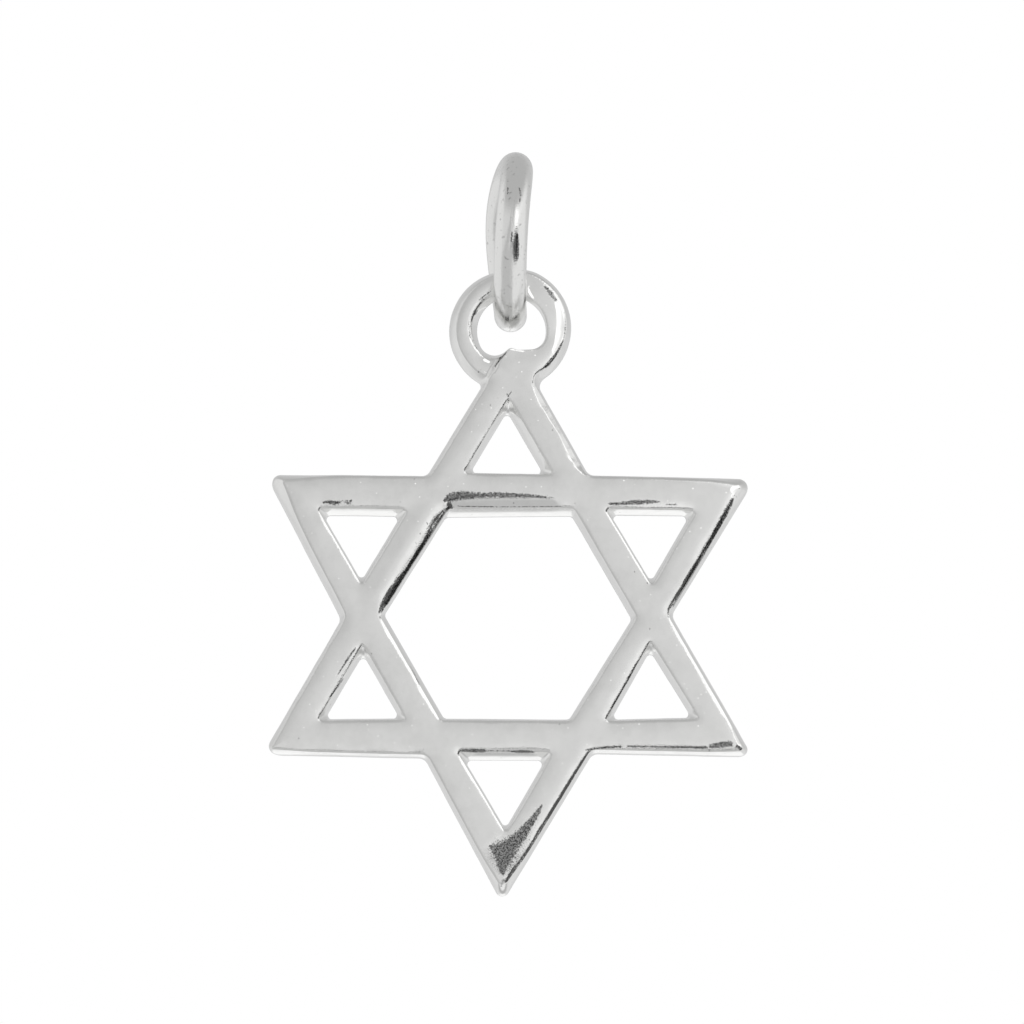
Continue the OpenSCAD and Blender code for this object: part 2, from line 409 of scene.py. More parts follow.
class SilverFinish(PropertyGroup):
    """Colours and finish of the two kinds of silver."""

    cast_colour: colour("Cast silver", "Colour of the cast silver", (0.87, 0.87, 0.86))
    wire_colour: colour("Wire silver", "Colour of the drawn wire", (0.86, 0.86, 0.85))
    dull_colour: colour("Dull spots", "Colour of dull spots and pits", (0.6, 0.6, 0.59))
    # Colour painted in for the dark reflections on the silver
    painted_dark_colour: colour("Dark marks", "Colour of the dark marks", (0.07, 0.07, 0.07))
    cast_gloss: share("Cast roughness", "Roughness of the polished cast silver", 0.1)
    wire_gloss: share("Wire roughness", "Roughness of the polished wire", 0.13)
    grain: length("Grain", "Size of the casting's grain", 0.045)
    grain_depth: length("Grain depth", "Depth of the casting's grain", 0.005)
    face_grain: share("Face grain", "Share of the grain that is left on the polished faces", 0.08)


class StageLook(PropertyGroup):
    """The floor, the camera and the light tent."""

    azimuth: angle("Azimuth", "Turn of the camera about the upright line", -2.2)
    elevation: angle("Elevation", "Height of the camera over the pendant as an angle", -5.4)
    distance: length("Distance", "From the camera to the point that it looks at", 200)
    view_height: length("View height", "Height of the picture at the pendant", 28.67)
    aim_across: place("Aim across", "Where the camera looks along X", 0.092)
    aim_up: place("Aim up", "Where the camera looks along Z", -9.164)
    floor_drop: length("Floor drop", "How far the floor lies below the origin", 60)
    floor_radius: length("Floor radius", "Radius of the floor", 600)
    floor_colour: colour("Floor", "Colour of the floor", (0.86, 0.86, 0.85))
    backdrop: colour("Backdrop", "Colour behind the pendant", (1.0, 1.0, 1.0))


# Plane geometry, with points as rows of (across, up) in metres


def on_circle(middle, radius, turn):
    """Point of a circle in a direction in radians."""
    return middle + radius * np.array([math.cos(turn), math.sin(turn)])


def polar(distance, degrees):
    """Point at a distance from the centre, in a direction in degrees."""
    return on_circle(0, distance, math.radians(degrees))


def turn_of(way):
    """Direction of a step in radians."""
    return math.atan2(way[1], way[0])


def near(turn, other):
    """The same direction as turn, less than half a turn from other."""
    return other + (turn - other + math.pi) % (2 * math.pi) - math.pi


def meet(normal_a, reach_a, normal_b, reach_b):
    """Point where the lines of two normals (in degrees) at two reaches cross."""
    sides = np.array([polar(1, normal_a), polar(1, normal_b)])
    return np.linalg.solve(sides, np.array([reach_a, reach_b]))


def mix(a, b, amount):
    """Value that lies at amount between a and b."""
    return a + (b - a) * amount


def smooth(low, high, value):
    """0 below low, 1 above high, and a smooth step between."""
    t = np.clip((value - low) / (high - low), 0, 1)
    return t * t * (3 - 2 * t)


def above_zero(value, blend):
    """The value where it is above zero and 0 where it is below, with a soft turn between."""
    return blend * np.logaddexp(0, value / blend)


def corner(before, at, after, radius):
    """The arc of a radius that touches both sides of the corner at a point."""
    u = (before - at) / np.linalg.norm(before - at)
    v = (after - at) / np.linalg.norm(after - at)
    half = math.acos(float(np.clip(u @ v, -1, 1))) / 2
    middle = at + (u + v) / np.linalg.norm(u + v) * radius / math.sin(half)
    start = turn_of(at + u * radius / math.tan(half) - middle)
    stop = turn_of(at + v * radius / math.tan(half) - middle)
    return Arc(middle, radius, start, near(stop, start))


def ends(arc):
    """First and last point of an arc."""
    return [on_circle(arc.middle, arc.radius, turn) for turn in (arc.start, arc.stop)]


def linked(arcs, facets):
    """Arcs with a line from each to the next, without the last arc, and the facets of the lines."""
    pieces = []
    for here, there, facet in zip(arcs, arcs[1:], facets):
        pieces += [here, Line(ends(here)[1], ends(there)[0], facet)]
    return pieces


def steps_along(piece, spacing):
    """Number of steps that a stretch is cut into."""
    if isinstance(piece, Line):
        return max(2, round(np.linalg.norm(piece.stop - piece.start) / spacing))
    return max(ARC_STEPS, round(abs(piece.stop - piece.start) * piece.radius / spacing))


def traced(pieces, steps):
    """Points along an outline, each stretch without its last point."""
    points = []
    for piece, count in zip(pieces, steps):
        at = mix(piece.start, piece.stop, np.arange(count)[:, None] / count)
        if isinstance(piece, Arc):
            round_it = np.hstack([np.cos(at), np.sin(at)])
            at = piece.middle + piece.radius * round_it
            at[:, 1] += piece.rise * smooth(*RIGHT_HALF, round_it[:, 0])
        points.append(at)
    return np.concatenate(points)


def facets_along(pieces, steps):
    """Width and slope of the facet at each point of an outline, evened out along it."""
    values = np.concatenate([np.tile(piece.facet, (count, 1)) for piece, count in zip(pieces, steps)])
    shifts = range(-FACET_BLUR, FACET_BLUR + 1)
    return sum(np.roll(values, shift, 0) for shift in shifts) / len(shifts)


def uneven(points, layers):
    """Smooth noise at each point, as the sum of its layers."""
    total = 0
    for strength, size, seed in layers:
        at = points / (size * MM)
        total = total + strength * np.array([noise.noise(Vector((x, y, seed))) for x, y in at])
    return total


def from_stroke(points, start, stop):
    """Distance in mm of each point from a stroke, and the share of its length at which it is nearest."""
    start, along = np.array(start), np.subtract(stop, start)
    off = points / MM - start
    t = np.clip(off @ along / (along @ along), 0, 1)
    return np.linalg.norm(off - t[:, None] * along, axis=1), t


def marked(points, marks):
    """Depth of the marks at each point: all in the middle of a stroke, and half of it at its half width."""
    depths = np.zeros(len(points))
    for depth, run in marks:
        for (*start, first), (*stop, last) in zip(run, run[1:]):
            away, t = from_stroke(points, start, stop)
            depths = np.maximum(depths, depth * (1 - away / (2 * mix(first, last, t))))
    return depths


class Outline:
    """Distance to a set of closed lines of points."""

    def __init__(self, loops):
        self.points = np.concatenate(loops)
        runs = np.split(np.arange(len(self.points)), np.cumsum([len(loop) for loop in loops])[:-1])
        self.after, self.before = (
            np.concatenate([np.roll(run, shift) for run in runs]) for shift in (-1, 1)
        )
        self.tree = KDTree(len(self.points))
        for i, (x, y) in enumerate(self.points):
            self.tree.insert((x, y, 0), i)
        self.tree.balance()

    def nearest(self, points):
        """Number of the nearest point of the lines to each point."""
        return np.array([self.tree.find((x, y, 0))[1] for x, y in points])

    def distance(self, points):
        """Distance from each point to the nearest line."""
        at = self.nearest(points)
        best = np.full(len(points), np.inf)
        for other in (self.after, self.before):
            a, b = self.points[at], self.points[other[at]]
            along = b - a
            t = np.clip(((points - a) * along).sum(1) / (along * along).sum(1), 0, 1)
            best = np.minimum(best, np.linalg.norm(points - a - along * t[:, None], axis=1))
        return best


def inside(points, loop):
    """True for each point within a closed line."""
    within = np.zeros(len(points), bool)
    for a, b in zip(loop, np.roll(loop, -1, 0)):
        if a[1] == b[1]:
            continue
        crosses = (a[1] > points[:, 1]) != (b[1] > points[:, 1])
        at = (b[0] - a[0]) * (points[:, 1] - a[1]) / (b[1] - a[1]) + a[0]
        within ^= crosses & (points[:, 0] < at)
    return within


def on_metal(points, loops):
    """True for each point within the first closed line and outside the rest."""
    kept = inside(points, loops[0])
    for hole in loops[1:]:
        kept &= ~inside(points, hole)
    return kept


def filled(loops, spacing):
    """Points and triangles of the area within the first closed line and outside the rest."""
    edge = np.concatenate(loops)
    (low_x, low_y), (high_x, high_y) = edge.min(0), edge.max(0)
    row = spacing * math.sqrt(3) / 2
    grid = []
    for j in range(int((high_y - low_y) / row) + 1):
        across = np.arange(low_x + (j % 2) * spacing / 2, high_x, spacing)
        grid.append(np.stack([across, np.full(len(across), low_y + j * row)], 1))
    grid = np.concatenate(grid)
    grid = grid[on_metal(grid, loops)]
    outline = Outline(loops)
    grid = grid[outline.distance(grid) > spacing * KEPT_FREE]
    points = np.concatenate([edge, grid])
    edges = [(i, int(j)) for i, j in enumerate(outline.after)]
    coords = [Vector(p / MM) for p in points]
    _, _, faces, origin, _, _ = geometry.delaunay_2d_cdt(coords, edges, [], 1, 1e-6, True)
    faces = np.array([[origin[v][0] for v in face] for face in faces])
    # Only a triangle whose corners all lie on the edge can be off the metal
    keep = np.ones(len(faces), bool)
    rim = (faces < len(edge)).all(1)
    keep[rim] = on_metal(points[faces[rim]].mean(1), loops)
    return points, faces[keep]


def quads(first, second, count):
    """Faces between two closed rows of points, from the numbers of the rows' first points."""
    after = [(i + 1) % count for i in range(count)]
    return [(first + i, first + j, second + j, second + i) for i, j in enumerate(after)]


def mesh_object(name, vertices, faces, material, attributes=None):
    """A smooth-shaded object of a mesh with one material."""
    mesh = bpy.data.meshes.new(name)
    mesh.from_pydata([tuple(v) for v in vertices], [], [tuple(int(i) for i in f) for f in faces])
    for key, values in (attributes or {}).items():
        values = np.asarray(values, np.float32)
        kind, field = ("FLOAT", "value") if values.ndim == 1 else ("FLOAT_VECTOR", "vector")
        mesh.attributes.new(key, kind, "POINT").data.foreach_set(field, values.ravel())
    build = bmesh.new()
    build.from_mesh(mesh)
    bmesh.ops.recalc_face_normals(build, faces=build.faces)
    build.to_mesh(mesh)
    build.free()
    mesh.shade_smooth()
    mesh.materials.append(material)
    mesh.update()
    made = bpy.data.objects.new(name, mesh)
    bpy.context.scene.collection.objects.link(made)
    return made


# The star and its loop


def filing(angle, side, part):
    """Shift, turn, lean and facet of a stretch of a bar's outer (side 1) or inner (side -1) line, which is
    its middle (part 0) or lies towards a tip (part -1 or 1)."""
    return (OUTER_LINES if side > 0 else INNER_LINES)[angle][part + 1]


def facets_of(stretches):
    """Width and slope of the facet along each stretch (angle, side, part)."""
    return [filing(*stretch)[3:] for stretch in stretches]


class StarShape:
    """Outlines and face of the star and its loop. All levels run from the back to the face."""

    def __init__(self, star, loop):
        self.star, self.loop = star, loop
        self.tip_reach = 2 * (star.bar_reach + star.bar_width / 2)
        # Height of the star's centre in the part's frame
        self.middle_up = STAR_LOW.z + self.tip_reach - star.low_tip_radius
        self.eye = np.array([loop.shift, STAR_HIGH.z - loop.eye_radius - loop.band - self.middle_up])
        self.apex = polar(self.tip_reach - star.eye_tip_radius, TOP)
        self.levels = self.make_levels()
        makers = [self.outer, self.middle_opening, self.eye_opening]
        makers += [lambda level, tip=tip: self.small_opening(level, tip) for tip in TIP_ANGLES]
        self.loops, filed = zip(*(self.drawn(make) for make in makers))
        self.crease = Outline([rings[self.crease_at] for rings in self.loops])
        self.filed = np.concatenate(filed)

    def make_levels(self):
        """The levels at which the outlines are drawn, from the back to the face."""
        star, loop = self.star, self.loop
        levels = []
        for turn in np.linspace(0, math.pi / 2, BACK_STEPS + 1):
            drop, pull = 1 - math.cos(turn), 1 - math.sin(turn)
            levels.append(Level(
                -star.thickness / 2 + star.back_round * drop, star.back_round * pull,
                -loop.thickness / 2 + loop.back_round * drop, loop.back_round * pull, 0, 0,
            ))
        levels += [Level(0, 0, 0, 0, share_up, 0) for share_up in WALL_STEPS]
        self.crease_at = len(levels)
        levels += [Level(0, 0, 0, 0, 1, inwards * MM) for inwards in (0, *ROLL_STEPS)]
        return levels

    def drawn(self, make):
        """An outline's rings of points at all levels, and the facet at each point."""
        pieces = make(self.levels[self.crease_at])
        steps = [steps_along(piece, self.star.spacing) for piece in pieces]
        stray = self.star.wobble * uneven(traced(pieces, steps), EDGE_STRAY)
        rings = []
        for level in self.levels:
            ring = traced(make(level), steps)
            tangent = np.roll(ring, -1, 0) - np.roll(ring, 1, 0)
            tangent /= np.linalg.norm(tangent, axis=1)[:, None]
            ring = ring + np.stack([tangent[:, 1], -tangent[:, 0]], 1) * stray[:, None]
            if make == self.outer:
                ring = ring + self.worn_tips(ring, level.share)
            rings.append(ring)
        return rings, facets_along(pieces, steps)

    def bar(self, level, angle, side, part):
        """Normal and reach of a stretch of a bar's line."""
        star = self.star
        shift, turn, lean, _, _ = filing(angle, side, part)
        reach = star.bar_reach + side * star.bar_width / 2 + shift * MM * star.hand
        at = polar(reach, angle) + polar(part * TURNING_AT[side] * MM, angle + 90)
        normal = angle - turn * star.hand
        inset = level.star_pull + lean * MM * level.share ** STAR_LEAN + level.step
        return normal, polar(1, normal) @ at - side * inset

    def crossings(self, level, stretches):
        """Points where each stretch (angle, side, part) meets the next."""
        lines = [self.bar(level, *stretch) for stretch in stretches]
        return [meet(*first, *second) for first, second in zip(lines, lines[1:])]

    def loop_radius(self, level):
        """Radius of the loop's outer edge at a level."""
        loop = self.loop
        inset = level.loop_pull + loop.wall_lean * level.share ** LOOP_LEAN + level.step
        return loop.eye_radius + loop.band - inset

    def shoulder(self, level, side):
        """Arc where the top tip's left (side -1) or right (side 1) edge meets the loop's outer edge, and
        the direction in which the loop's middle lies from the arc's."""
        loop = self.loop
        fillet, rise = (loop.fillet_right, loop.raised) if side > 0 else (loop.fillet_left, 0)
        normal, reach = self.bar(level, TOP - side * TIP_STEP, 1, side)
        n = polar(1, normal)
        centre = self.eye + np.array([0, rise])
        off = reach + fillet - n @ centre
        down = math.sqrt((self.loop_radius(level) + fillet) ** 2 - off ** 2)
        middle = centre + off * n + down * np.array([n[1], -n[0]]) * side
        on_line, on_loop = turn_of(-n), turn_of(centre - middle)
        turns = (on_line, near(on_loop, on_line))
        return Arc(middle, fillet, *turns[::side]), on_loop

    def outer(self, level):
        """Outline round the whole star and its loop, leftwards from the top."""
        star = self.star
        stretches = []
        for notch in NOTCH_ANGLES:
            left_bar, right_bar = ((notch + turn) % 360 for turn in (TIP_STEP // 2, -TIP_STEP // 2))
            stretches += [(left_bar, 1, -1), (right_bar, 1, 1)]
        radii = [star.notch_radius]
        for tip, (factor, crease, _, _) in TIP_WEAR.items():
            wide = star.low_tip_radius if tip == BOTTOM else star.tip_radius
            radii += [mix(wide * factor, crease * MM, level.share), star.notch_radius]
        left, from_left = self.shoulder(level, -1)
        right, from_right = self.shoulder(level, 1)
        points = [ends(left)[1], *self.crossings(level, stretches), ends(right)[0]]
        corners = [corner(*points[i:i + 3], radius) for i, radius in enumerate(radii)]
        start, stop = from_right - math.pi, from_left + math.pi
        edge = Arc(self.eye, self.loop_radius(level), start, stop, rise=self.loop.raised)
        return linked([left, *corners, right], facets_of(stretches))[1:] + [right, edge, left]

    def worn_tips(self, ring, share_up):
        """How far wear moves each point of the outline back from its tip."""
        moved = np.zeros_like(ring)
        for tip, (_, _, pull, span) in TIP_WEAR.items():
            away = np.linalg.norm(ring - polar(self.tip_reach, tip), axis=1) / (span * MM)
            amount = np.exp(-away ** 2) * share_up ** STAR_LEAN
            moved -= amount[:, None] * polar(pull * MM * self.star.hand, tip)
        return moved

    def opening(self, level, stretches, radius):
        """Outline of an opening along stretches of bars, clockwise, with equally round corners."""
        points = self.crossings(level, [*stretches, stretches[0]])
        sides = zip(points[-1:] + points, points, points[1:] + points[:1])
        arcs = [corner(*three, radius) for three in sides]
        return linked([*arcs, arcs[0]], facets_of([*stretches[1:], stretches[0]]))

    def middle_opening(self, level):
        """Outline of the six-sided opening."""
        clockwise = TIP_ANGLES[:1] + TIP_ANGLES[:0:-1]
        return self.opening(level, [(angle, -1, 0) for angle in clockwise], self.star.middle_radius)

    def small_opening(self, level, tip):
        """Outline of the small opening behind a tip."""
        radius = mix(self.star.small_radius, self.star.crease_radius, level.share)
        left_bar, right_bar = (tip + TIP_STEP) % 360, (tip - TIP_STEP) % 360
        return self.opening(level, [(left_bar, -1, -1), (right_bar, -1, 1), (tip, 1, 0)], radius)

    def eye_opening(self, level):
        """Outline of the eye, clockwise, with the tip that reaches into it from below."""
        star, loop, up = self.star, self.loop, level.share
        radius = loop.eye_radius + level.loop_pull + loop.eye_lean * up ** LOOP_LEAN + level.step
        centre = self.eye + np.array([loop.eye_right - loop.eye_left * up, -loop.eye_low * up])
        inset = level.star_pull + star.fill_lean * up ** STAR_LEAN + level.step
        fillet = star.fill_round
        sides, feet, arcs = [], [], []
        for turn, reach, across, sign, facet in (
            (star.left_fill_angle, star.left_fill_reach, math.pi, 1, PLAIN),
            (star.right_fill_angle, star.right_fill_reach, 0, -1, FILL_FACET),
        ):
            normal = polar(1, math.degrees(turn))
            off = reach - inset + fillet - normal @ centre
            along = math.sqrt((radius - fillet) ** 2 - off ** 2)
            middle = centre + off * normal + along * sign * np.array([-normal[1], normal[0]])
            on_eye = near(turn_of(middle - centre), across)
            turns = (on_eye, near(turn - math.pi, on_eye + sign))
            sides.append((math.degrees(turn), reach - inset))
            feet.append(middle - fillet * normal)
            arcs.append(Arc(middle, fillet, *turns[::-sign], facet))
        left, right = arcs
        tip_side = (math.degrees(star.eye_tip_angle), star.eye_tip_reach - inset)
        dip, top = meet(*tip_side, *sides[1]), meet(*sides[0], *tip_side)
        peak = corner(dip, top, feet[0], star.eye_tip_radius)
        return [
            Arc(centre, radius, left.stop, right.start, EYE_FACET),
            right,
            Line(feet[1], dip, TIP_FACET),
            Line(dip, ends(peak)[0], TIP_FACET),
            peak._replace(facet=TIP_FACET),
            Line(ends(peak)[1], feet[0]),
            left,
        ]

    def loopness(self, points):
        """0 on the star and 1 on the loop, with a sharp step on the left and a soft one on the right."""
        normal, reach = self.bar(self.levels[self.crease_at], TOP + TIP_STEP, 1, -1)
        beyond = (points @ polar(1, normal) - reach) / MM
        on_left = smooth(*LOOP_BEYOND, beyond) * smooth(*LOOP_UP, points[:, 1] / MM)
        from_eye = points - self.eye
        round_right = np.degrees(np.arctan2(from_eye[:, 1], from_eye[:, 0]))
        return np.maximum(on_left, smooth(*LOOP_ROUND, round_right))

    def polished(self, points):
        """What polishing adds to the slope and to the width of the crown at each point."""
        slope, width = np.zeros(len(points)), np.zeros(len(points))
        for start, stop, size, more_slope, more_width in POLISHED:
            amount = np.exp(-(from_stroke(points, start, stop)[0] / size) ** 4)
            slope += more_slope * amount
            width += more_width * MM * amount
        return slope, width

    def worn_right(self, points):
        """Slope of the loop's crown at each point, and how far wear on the right lowers the band there."""
        loop = self.loop
        from_eye = points - self.eye
        out = np.linalg.norm(from_eye, axis=1)
        right = smooth(*RIGHT_HALF, from_eye[:, 0] / out)
        inner_half = 1 - smooth(*OUTER_HALF, (out - loop.eye_radius) / loop.band)
        slope = loop.crown_slope * (1 - loop.worn_right * right * inner_half)
        return slope, loop.fall_right * right * np.maximum(0, out - loop.eye_radius)

    def below_crown(self, points, gap, facet):
        """How far the face lies below its middle, at a distance from a crease with a facet."""
        star = self.star
        change = uneven(points, SLOPE_CHANGES)
        facet_width = facet[:, 0] * MM * (1 + uneven(points, FACET_WIDTHS))
        facet_slope = facet[:, 1] * (1 + FACET_CHANGE * change)
        more_slope, more_width = self.polished(points)
        loop_slope, fall = self.worn_right(points)
        on_loop = self.loopness(points)
        slope = mix(star.crown_slope * (1 + CROWN_CHANGE * change) + more_slope, loop_slope, on_loop)
        width = mix(star.crown_width + more_width, self.loop.crown_width, on_loop)
        filed = facet_slope * above_zero(facet_width - gap, star.facet_blend)
        return filed + slope * above_zero(width - gap, star.crown_blend) + fall * on_loop

    def bent_tip(self, points):
        """How far the bottom tip's face falls back, within two lines along the tip's edges."""
        blend = BEND_BLEND * MM
        for normal, reach in BEND_SIDES:
            n = polar(1, normal)
            points = points - above_zero(points @ n - reach * MM, blend)[:, None] * n
        line_up = BEND_RISE * (points[:, 0] + self.star.bend_left) - self.star.bend_from
        return self.star.bend_slope * above_zero(line_up - points[:, 1], blend)

    def face(self, points, at_crease=False):
        """Height of the face at each point, or of the crease nearest to it."""
        crease = self.crease.nearest(points)
        gap = np.zeros(len(points)) if at_crease else self.crease.distance(points)
        where = self.crease.points[crease] if at_crease else points
        from_apex = np.linalg.norm(where - self.apex, axis=1) / MM
        drop = self.below_crown(where, gap, self.filed[crease]) * smooth(*APEX_FADE, from_apex)
        top = mix(self.star.thickness / 2, self.loop.thickness / 2, self.loopness(where))
        return top - drop - self.bent_tip(where) + self.star.ripple * uneven(where, FACE_RIPPLES)

    def back(self, points):
        """Height of the back at each point."""
        flat = mix(-self.star.thickness / 2, -self.loop.thickness / 2, self.loopness(points))
        return flat + self.star.ripple * uneven(points, BACK_RIPPLES)

    def heights(self, ring, level):
        """Height of each point of the ring of a level."""
        if level.share == 1:
            return self.face(ring)
        on_loop = self.loopness(ring)
        if level.share == 0:
            return mix(level.star_height, level.loop_height, on_loop)
        foot = self.levels[BACK_STEPS]
        low = mix(foot.star_height, foot.loop_height, on_loop)
        return mix(low, self.face(ring, at_crease=True), level.share)

    def graininess(self, points, dark):
        """1 where the polish left the grain of the casting, on facets and in the painted dark reflections.
        """
        facet = self.filed[self.crease.nearest(points), 0] + GRAIN_MARGIN
        along = 1 - smooth(*GRAIN_FADE, self.crease.distance(points) / (facet * MM))
        return np.clip(along + 2 * dark, 0, 1)


def star_mesh(star, loop):
    """Vertices and faces of the star with its loop, in the part's frame, and what the finish needs."""
    shape = StarShape(star, loop)
    vertices, faces, numbers, base = [], [], [], 0
    for rings in shape.loops:
        count = len(rings[0])
        rows = base + np.arange(len(rings) * count).reshape(len(rings), count)
        for ring, level in zip(rings, shape.levels):
            vertices.append(np.column_stack([ring, shape.heights(ring, level)]))
        for row, above in zip(rows[:, 0], rows[1:, 0]):
            faces += quads(row, above, count)
        numbers.append(rows)
        base += rows.size
    for end, spacing, height in ((-1, FACE_SPACING, shape.face), (0, BACK_SPACING, shape.back)):
        points, triangles = filled([rings[end] for rings in shape.loops], spacing * MM)
        rim = np.concatenate([rows[end] for rows in numbers])
        new = points[len(rim):]
        vertices.append(np.column_stack([new, height(new)]))
        faces += list(np.concatenate([rim, base + np.arange(len(new))])[triangles])
        base += len(new)
    flat = np.concatenate(vertices)
    placed = np.stack([flat[:, 0], -flat[:, 2], flat[:, 1] + shape.middle_up], 1)
    seen, front = flat[:, :2], flat[:, 2] > FRONT_FROM * loop.thickness
    # Painted dark reflections, as a depth at each point of the face
    dark = marked(seen, PAINTED_DARK_REFLECTIONS)
    finish = {"grain": shape.graininess(seen, dark), "dark": dark, "glint": marked(seen, GLINTS)}
    return placed, faces, {key: np.where(front, values, 0) for key, values in finish.items()}


# The jump ring


def ring_mesh(ring):
    """Vertices and faces of the jump ring, the run (along, round, 0) of its wire, and its painted dark
    reflections.
    """
    middle = (RING_LOW + RING_HIGH) / 2
    wire = (RING_HIGH.x - RING_LOW.x) / 2
    radius = (RING_HIGH.z - RING_LOW.z) / 2 - wire
    rounds, turns = ring.steps_round, ring.steps_wire
    side = Vector((1, 0, 0))
    vertices, faces, run, front = [], [], [], []
    for i in range(rounds):
        along = 2 * math.pi * i / rounds
        out = Vector((0, math.sin(along), -math.cos(along)))
        aside = RING_ASIDE
        for times, (with_cosine, with_sine) in enumerate(RING_WAVES, 1):
            aside += with_cosine * math.cos(times * along) + with_sine * math.sin(times * along)
        for j in range(turns):
            round_wire = 2 * math.pi * j / turns
            normal = math.cos(round_wire) * out + math.sin(round_wire) * side
            at = radius * out + wire * normal
            scaled = [value / (size * MM) for value, size in zip(at, DENT_SIZE)]
            dent = noise.noise(Vector(scaled))
            at = at - normal * ring.dents * (0.5 + 0.5 * dent)
            at.x += ring.bend * aside * MM
            at.z += ring.stretch * (1 - math.cos(along)) / 2
            front.append(normal.y < 0 and at.y < 0)
            vertices.append(middle + at)
            run.append((along * radius, round_wire * wire, 0))
        faces += quads(i * turns, (i + 1) % rounds * turns, turns)
    seen = np.array([(v.x, v.z) for v in vertices])
    return vertices, faces, run, np.where(front, marked(seen, RING_PAINTED_REFLECTIONS), 0)


# Materials

# Spots, as the size of their cells in metres and the distances from a cell's middle between which they end
PITS = (0.5 * MM, 0.03, 0.05)
SPECKS = (0.22 * MM, 0.05, 0.105)
# Patterns, as the size of their features in metres and the levels of the noise between which they start
CLOUDS = (0.4 * MM, 0.3, 0.75, 4.0)
DRAWN_LINES = (0.06 * MM, 0.3, 0.7)
WIRE_MARKS = (0.12 * MM, 0.6, 0.72)
PAPER_FIBRE = (4 * MM, 0.3, 0.7)
# How much of the dull colour the clouds bring, and how much darker the paper's fibres are
CLOUD_TINT = 0.16
FIBRE_TINT = 0.97
# Least and greatest roughness, as shares of the one given
CAST_GLOSS = (0.75, 1.3)
WIRE_GLOSS = (0.8, 1.3)
# Shares of the depth of the grain in the pits and on the wire, and depth in metres of the drawn lines
PIT_DEPTH, WIRE_GRAIN = 2, 0.7
LINE_DEPTH = 0.0008 * MM
# Length of the drawn lines: how far the pattern is squeezed along the wire
DRAWN_SCALE = (0.08, 1.0, 1.0)
# Painted dark reflections: levels of depth and grain together between which they start, the bright gaps in
# them as size (a share of the grain's) and levels, and how much of the painted dark is left in a gap
PAINTED_DARK_EDGE = (0.9, 1.1)
GAP_SIZE, GAP_EDGE = 0.8, (0.62, 0.38)
GAP_COVER = 0.62
# Glints: levels between which they start, and the turn of their surface to the right and up, as slopes
GLINT_EDGE = (0.35, 0.6)
GLINT_TURN = (0.19, 0, 0.08)


def plug(tree, target, inputs):
    """Links each input, by name or number, to another node's output, or gives it a fixed value."""
    for socket, given in inputs.items():
        if isinstance(given, bpy.types.NodeSocket):
            tree.links.new(given, target.inputs[socket])
        else:
            target.inputs[socket].default_value = given


def new_node(tree, kind, inputs, **settings):
    """A new node with its settings and inputs."""
    made = tree.nodes.new("ShaderNode" + kind)
    for key, value in settings.items():
        setattr(made, key, value)
    plug(tree, made, inputs)
    return made


def node(tree, kind, output, inputs=None, **settings):
    """One output, by name or number, of a new node."""
    return new_node(tree, kind, inputs or {}, **settings).outputs[output]


def rgba(value):
    """A colour with full alpha."""
    return (*value, 1.0)


def grey(level):
    """A grey with full alpha."""
    return (level, level, level, 1.0)


def attribute(tree, name, output="Fac"):
    """Value that the mesh has at each point."""
    return node(tree, "Attribute", output, attribute_name=name)


def maths(tree, operation, *values):
    """Result of a sum with one or more values."""
    return node(tree, "Math", "Value", dict(enumerate(values)), operation=operation)


def vector_maths(tree, operation, output, inputs):
    """Result of a sum with vectors."""
    return node(tree, "VectorMath", output, inputs, operation=operation)


def step(tree, value, start, stop):
    """Smooth step from 0 at start to 1 at stop."""
    return node(
        tree, "MapRange", "Result", {"Value": value, "From Min": start, "From Max": stop},
        interpolation_type="SMOOTHSTEP",
    )


def ranged(tree, value, low, high):
    """A value from 0 to 1 made to run from low to high."""
    return node(tree, "MapRange", "Result", {"Value": value, "To Min": low, "To Max": high})


def blended(tree, amount, first, second):
    """Colour that goes from first to second with amount."""
    return node(tree, "Mix", 2, {0: amount, 6: first, 7: second}, data_type="RGBA")


def cloudy(tree, coords, size, detail, roughness=0.6):
    """Noise from 0 to 1 with features of a size."""
    inputs = {"Vector": coords, "Scale": 1 / size, "Detail": detail, "Roughness": roughness}
    return node(tree, "TexNoise", "Fac", inputs)


def spots(tree, coords, size, low, high):
    """1 in scattered small spots and 0 between them."""
    cells = node(tree, "TexVoronoi", "Distance", {"Vector": coords, "Scale": 1 / size})
    return step(tree, cells, high, low)


def speckle(tree, coords, size, low, high, detail=3.0):
    """Noise that is 0 below low and 1 above high."""
    return step(tree, cloudy(tree, coords, size, detail), low, high)


def bumped(tree, height, strength, distance, normal=None, invert=False):
    """Normal of a surface with small bumps, on top of another normal where one is given."""
    inputs = {"Strength": strength, "Distance": distance, "Height": height}
    if normal:
        inputs["Normal"] = normal
    return node(tree, "Bump", "Normal", inputs, invert=invert)


def with_painted_reflections(tree, coords, colour, finish):
    """A colour with the painted dark reflections, broken up into the casting's grain."""
    deep = maths(tree, "ADD", attribute(tree, "dark"), cloudy(tree, coords, finish.grain, 2.0, 0.7))
    bare = speckle(tree, coords, finish.grain * GAP_SIZE, *GAP_EDGE, detail=1.0)
    amount = maths(tree, "MULTIPLY", step(tree, deep, *PAINTED_DARK_EDGE), ranged(tree, bare, GAP_COVER, 1.0))
    return blended(tree, amount, colour, rgba(finish.painted_dark_colour))


